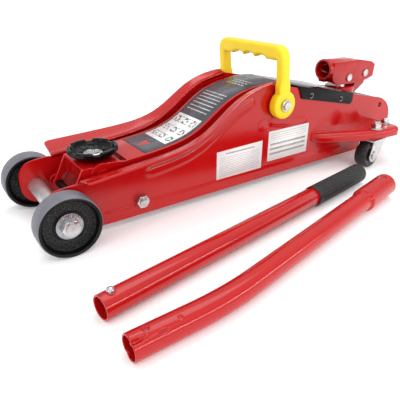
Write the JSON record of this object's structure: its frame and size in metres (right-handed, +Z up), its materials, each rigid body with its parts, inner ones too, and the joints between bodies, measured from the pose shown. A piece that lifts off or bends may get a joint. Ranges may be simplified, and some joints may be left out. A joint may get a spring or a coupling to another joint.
{
  "type": "trolley jack",
  "caption": "Low hydraulic trolley jack with a lifting arm, turning saddle, swivel casters, folding carry handle and a loose two-piece pumping handle beside it.",
  "frame": {"origin": "on the floor, at the middle of the whole set's footprint", "axes": "+X to the saddle end, +Y to the jack's left, where the loose handle lies, +Z up"},
  "size_m": [0.628, 0.3726, 0.1974],
  "materials": {
    "red_paint": "gloss",
    "zinc": "satin",
    "black_paint": "gloss",
    "dark_steel": "satin",
    "wheel_black": "matte",
    "spring_steel": "satin",
    "yellow_plastic": "satin",
    "label_white": "satin",
    "film_grey": "gloss",
    "saddle_black": "gloss",
    "ground_steel": "polished",
    "rubber": "matte"
  },
  "bodies": {
    "frame": {"side_plate_left": "red_paint", "side_plate_right": "red_paint", "front_axle": "zinc", "axle_washers": "zinc", "axle_nuts": "zinc", "tie_bolt": "zinc", "tie_spacer": "zinc", "tie_nuts": "zinc", "arm_pivot_shaft": "red_paint", "pivot_bushes": "zinc", "rod_studs": "zinc", "base_plate": "red_paint", "hydraulic_block": "dark_steel", "oil_reservoir": "red_paint", "ram_cylinder": "dark_steel", "release_screw": "zinc", "oil_filler_plug": "zinc", "return_spring": "spring_steel", "top_cover": "black_paint", "cover_screws": "black_paint", "caster_wing_left": "red_paint", "caster_wing_right": "red_paint", "caster_kingpins": "zinc", "kingpin_nuts": "zinc", "wing_bolts": "zinc", "carry_bolts": "zinc", "side_labels": "label_white"},
    "front_wheel_left": {"front_wheel_left": "wheel_black"},
    "front_wheel_right": {"front_wheel_right": "wheel_black"},
    "caster_left": {"caster_fork_left": "zinc", "caster_rivet_left": "zinc"},
    "caster_right": {"caster_fork_right": "zinc", "caster_rivet_right": "zinc"},
    "caster_wheel_left": {"caster_wheel_left": "wheel_black"},
    "caster_wheel_right": {"caster_wheel_right": "wheel_black"},
    "carry_handle": {"carry_handle": "yellow_plastic"},
    "lift_arm": {"lift_arm": "red_paint", "lever_pin": "zinc", "arm_film": "film_grey"},
    "saddle_bracket": {"saddle_bracket": "red_paint", "hinge_pins": "red_paint", "rod_bolt": "black_paint", "saddle_screw": "zinc"},
    "saddle": {"saddle": "saddle_black"},
    "levelling_rods": {"levelling_rod_left": "red_paint", "levelling_rod_right": "red_paint"},
    "ram": {"ram_rod": "ground_steel", "ram_head": "dark_steel"},
    "yoke": {"swivel_yoke": "red_paint", "fulcrum_rivet": "zinc"},
    "socket": {"handle_socket": "red_paint", "plunger_rivet": "zinc"},
    "plunger": {"pump_plunger": "ground_steel"},
    "upper_handle": {"upper_handle_tube": "red_paint", "rubber_grip": "rubber", "button_spring": "spring_steel"},
    "push_button": {"push_button": "zinc"},
    "lower_handle": {"lower_handle_tube": "red_paint"}
  },
  "joints": [
    {"name": "front_wheel_left_spin", "type": "hinge", "parent": "frame", "child": "front_wheel_left", "pos_m": [0.278, -0.00375, 0.036], "axis": [0, 1, 0], "continuous": true},
    {"name": "front_wheel_right_spin", "type": "hinge", "parent": "frame", "child": "front_wheel_right", "pos_m": [0.278, -0.14775, 0.036], "axis": [0, 1, 0], "continuous": true},
    {"name": "caster_left_swivel", "type": "hinge", "parent": "frame", "child": "caster_left", "pos_m": [-0.222, 0.01825, 0.045], "axis": [0, 0, 1], "continuous": true},
    {"name": "caster_right_swivel", "type": "hinge", "parent": "frame", "child": "caster_right", "pos_m": [-0.222, -0.16975, 0.045], "axis": [0, 0, 1], "continuous": true},
    {"name": "caster_wheel_left_spin", "type": "hinge", "parent": "caster_left", "child": "caster_wheel_left", "pos_m": [-0.20802, 0.01898, 0.0215], "axis": [-0.0523, 0.9986, 0], "continuous": true},
    {"name": "caster_wheel_right_spin", "type": "hinge", "parent": "caster_right", "child": "caster_wheel_right", "pos_m": [-0.20802, -0.17048, 0.0215], "axis": [0.0523, 0.9986, 0], "continuous": true},
    {"name": "carry_handle_fold", "type": "hinge", "parent": "frame", "child": "carry_handle", "pos_m": [-0.0395, -0.07575, 0.119], "axis": [0, -1, 0], "range_deg": [0, 66]},
    {"name": "arm_lift", "type": "hinge", "parent": "frame", "child": "lift_arm", "pos_m": [-0.014, -0.07575, 0.091], "axis": [0, -1, 0], "range_deg": [0, 68]},
    {"name": "bracket_level", "type": "hinge", "parent": "lift_arm", "child": "saddle_bracket", "pos_m": [0.218, -0.07575, 0.065], "axis": [0, -1, 0], "range_deg": [-68, 0]},
    {"name": "saddle_turn", "type": "hinge", "parent": "saddle_bracket", "child": "saddle", "pos_m": [0.215, -0.07575, 0.085], "axis": [0, 0, 1], "continuous": true},
    {"name": "rods_swing", "type": "hinge", "parent": "frame", "child": "levelling_rods", "pos_m": [0.021, -0.07575, 0.066], "axis": [0, -1, 0], "range_deg": [0, 68]},
    {"name": "ram_stroke", "type": "slide", "parent": "frame", "child": "ram", "axis": [1, 0, 0], "range_m": [0, 0.06151]},
    {"name": "yoke_turn", "type": "hinge", "parent": "frame", "child": "yoke", "pos_m": [-0.236, -0.07575, 0.098], "axis": [0, 0, 1], "range_deg": [-90, 90]},
    {"name": "pump_stroke", "type": "hinge", "parent": "yoke", "child": "socket", "pos_m": [-0.279, -0.07575, 0.13], "axis": [0, -1, 0], "range_deg": [0, 35]},
    {"name": "plunger_stroke", "type": "slide", "parent": "yoke", "child": "plunger", "axis": [0, 0, 1], "range_m": [0, 0.02455]},
    {"name": "upper_handle_lift", "type": "slide", "parent": "frame", "child": "upper_handle", "axis": [0, 0, 1], "range_m": [0, 0.2]},
    {"name": "button_press", "type": "slide", "parent": "upper_handle", "child": "push_button", "axis": [-0.004, -0.0006, -1], "range_m": [0, 0.004], "stiffness_N_per_m": 500, "springref_m": -0.003, "deforming": ["button_spring"]},
    {"name": "lower_handle_lift", "type": "slide", "parent": "frame", "child": "lower_handle", "axis": [0, 0, 1], "range_m": [0, 0.2]}
  ],
  "couplings": [
    {"joint": "bracket_level", "follows": "arm_lift", "ratio": -1},
    {"joint": "rods_swing", "follows": "arm_lift", "ratio": 1},
    {"joint": "ram_stroke", "follows": "arm_lift", "m_per_rad": 0.051828},
    {"joint": "plunger_stroke", "follows": "pump_stroke", "m_per_rad": 0.040191}
  ]
}
